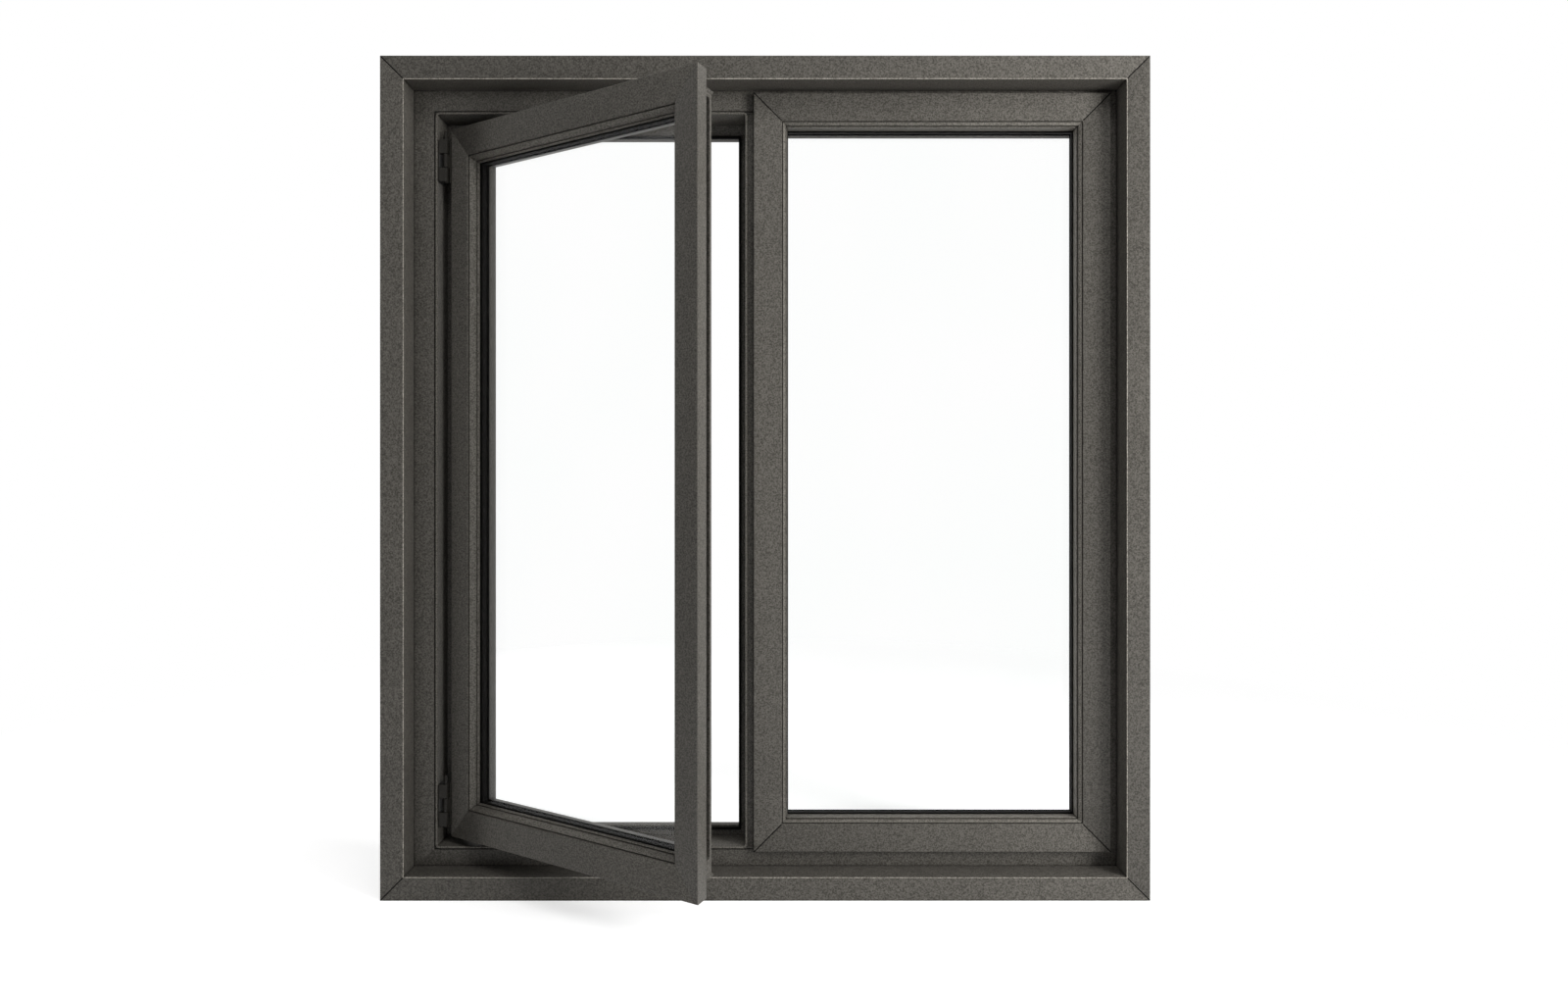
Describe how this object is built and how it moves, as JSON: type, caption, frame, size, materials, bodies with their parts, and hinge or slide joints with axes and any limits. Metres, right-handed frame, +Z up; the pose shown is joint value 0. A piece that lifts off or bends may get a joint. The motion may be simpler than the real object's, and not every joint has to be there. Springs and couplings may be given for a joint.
{
  "type": "tilt and turn window",
  "caption": "Two-light metal window with a side-hung opening sash, a fixed sash, a mullion and a deep surround.",
  "frame": {"origin": "middle of the frame's underside, at mid width and mid depth", "axes": "+X to the right seen from the room, +Y away from the room, +Z up"},
  "size_m": [1.24, 0.293, 1.36],
  "materials": {
    "powder_coat": "fine textured matt, dark bronze",
    "glass": "clear",
    "glass_spacer": "matt black",
    "rubber_seal": "matt black",
    "hinge_metal": "satin, dark bronze",
    "locking_rail": "satin"
  },
  "bodies": {
    "frame": {"surround_head": "powder_coat", "surround_sill": "powder_coat", "surround_left_jamb": "powder_coat", "surround_right_jamb": "powder_coat", "frame_head": "powder_coat", "frame_sill": "powder_coat", "frame_left_jamb": "powder_coat", "frame_right_jamb": "powder_coat", "mullion": "powder_coat", "left_lip_bead": "powder_coat", "left_rebate_seal": "rubber_seal", "right_top_rail": "powder_coat", "right_bottom_rail": "powder_coat", "right_mullion_stile": "powder_coat", "right_jamb_stile": "powder_coat", "right_glazing_bead_head": "powder_coat", "right_glazing_bead_sill": "powder_coat", "right_glazing_bead_left": "powder_coat", "right_glazing_bead_right": "powder_coat", "right_room_side_pane": "glass", "right_outer_pane": "glass", "right_glass_spacer": "glass_spacer", "right_glazing_seals": "rubber_seal", "lower_hinge_frame_leaf": "hinge_metal", "lower_hinge_pin": "hinge_metal", "upper_hinge_frame_leaf": "hinge_metal", "upper_hinge_pin": "hinge_metal"},
    "sash": {"left_top_rail": "powder_coat", "left_bottom_rail": "powder_coat", "left_hinge_stile": "powder_coat", "left_lock_stile": "powder_coat", "left_glazing_bead_head": "powder_coat", "left_glazing_bead_sill": "powder_coat", "left_glazing_bead_left": "powder_coat", "left_glazing_bead_right": "powder_coat", "left_room_side_pane": "glass", "left_outer_pane": "glass", "left_glass_spacer": "glass_spacer", "left_glazing_seals": "rubber_seal", "left_locking_rail": "locking_rail", "lower_hinge_sash_leaf": "hinge_metal", "upper_hinge_sash_leaf": "hinge_metal"}
  },
  "joints": [
    {"name": "sash_turn", "type": "hinge", "parent": "frame", "child": "sash", "pos_m": [-0.532, -0.011, 0.68], "axis": [0, 0, -1], "range_deg": [-28, 62]}
  ]
}
